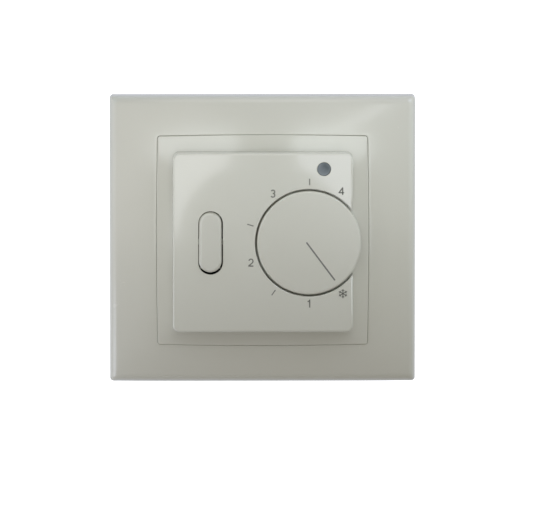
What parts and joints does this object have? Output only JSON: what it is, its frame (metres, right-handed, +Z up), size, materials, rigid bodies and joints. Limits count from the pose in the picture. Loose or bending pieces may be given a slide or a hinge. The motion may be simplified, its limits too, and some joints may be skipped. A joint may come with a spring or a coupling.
{
  "type": "wall thermostat",
  "caption": "Flush-mounted heating thermostat: square cover with setting dial, on-off rocker and indicator window in an adapter ring and outer frame, with wall-box housing behind.",
  "frame": {"origin": "centre of the four wall-box screw slots, in the wall surface (the back face of the steel support plate)", "axes": "+Z up, the face looks towards -Y, +Y goes into the wall, +X to the right seen from the front"},
  "size_m": [0.085, 0.042, 0.08],
  "materials": {
    "frame_plastic": "glossy warm-white moulded plastic",
    "cover_plastic": "satin-gloss warm-white moulded plastic",
    "dial_plastic": "finely eroded warm-white moulded plastic",
    "lens_plastic": "tinted slate-grey light guide",
    "housing_plastic": "light grey glass-filled plastic",
    "terminal_plastic": "dark grey glass-filled plastic",
    "switch_plastic": "black plastic",
    "plunger_plastic": "natural white acetal",
    "blue_plastic": "blue plastic",
    "red_plastic": "red plastic",
    "plated_steel": "zinc-plated sheet steel",
    "screw_steel": "zinc-plated screw steel",
    "spring_steel": "bright spring steel",
    "relay_iron": "plated soft iron",
    "shaft_metal": "turned aluminium",
    "contact_brass": "bright brass",
    "coil_copper": "enamelled copper winding",
    "circuit_board": "green solder-resist laminate",
    "relay_case_plastic": "white relay cover",
    "chip_plastic": "black moulded resin",
    "pot_plastic": "blue potentiometer case",
    "track_carbon": "printed carbon track",
    "film_box": "yellow potting box",
    "can_sleeve": "dark blue sleeve",
    "varistor_coat": "blue epoxy coat",
    "resistor_coat": "tan resistor coat",
    "led_resin": "milky LED resin"
  },
  "bodies": {
    "housing": {"outer_frame": "frame_plastic", "adapter_ring": "frame_plastic", "front_cover": "cover_plastic", "cover_screw": "screw_steel", "led_lens": "lens_plastic", "pot_track": "track_carbon", "pot_case": "pot_plastic", "switch_housing": "switch_plastic", "switch_saddle": "contact_brass", "switch_fixed_contact": "contact_brass", "front_housing": "housing_plastic", "control_board": "circuit_board", "control_board_screws": "screw_steel", "indicator_led": "led_resin", "control_chip": "chip_plastic", "support_plate": "plated_steel", "rear_housing": "housing_plastic", "housing_screws": "screw_steel", "main_board": "circuit_board", "main_board_screws": "screw_steel", "board_header": "switch_plastic", "header_pins": "contact_brass", "relay_base": "switch_plastic", "relay_case": "relay_case_plastic", "relay_coil": "coil_copper", "relay_yoke": "relay_iron", "relay_fixed_contact": "contact_brass", "film_capacitor": "film_box", "reservoir_capacitor": "can_sleeve", "varistor": "varistor_coat", "fusible_resistor": "resistor_coat", "rectifier_diodes": "chip_plastic", "terminal_block": "terminal_plastic", "terminal_clamps": "contact_brass", "terminal_screws": "screw_steel"},
    "dial": {"setting_dial": "dial_plastic", "min_limit_ring": "blue_plastic", "max_limit_ring": "red_plastic", "ring_retainer": "spring_steel", "pot_shaft": "shaft_metal", "pot_wiper": "contact_brass"},
    "rocker": {"rocker_key": "cover_plastic", "rocker_plunger": "plunger_plastic", "rocker_spring": "spring_steel"},
    "contact_strip": {"switch_contact": "contact_brass"},
    "armature": {"relay_armature": "relay_iron", "relay_moving_contact": "contact_brass"}
  },
  "joints": [
    {"name": "dial_turn", "type": "hinge", "parent": "housing", "child": "dial", "pos_m": [0.01285, -0.013, 0], "axis": [0, 1, 0], "range_deg": [0, 248]},
    {"name": "rocker_press", "type": "hinge", "parent": "housing", "child": "rocker", "pos_m": [-0.0145, -0.012, 0], "axis": [1, 0, 0], "range_deg": [0, 8]},
    {"name": "contact_rock", "type": "hinge", "parent": "housing", "child": "contact_strip", "pos_m": [-0.0145, -0.00859, 0], "axis": [1, 0, 0], "range_deg": [-16, 0]},
    {"name": "relay_pull_in", "type": "hinge", "parent": "housing", "child": "armature", "pos_m": [0.0006, 0.001, 0.0096], "axis": [0, 0, -1], "range_deg": [0, 3], "stiffness_Nm_per_rad": 0.02, "springref_deg": -2.86}
  ],
  "couplings": [
    {"joint": "contact_rock", "follows": "rocker_press", "ratio": -2}
  ]
}
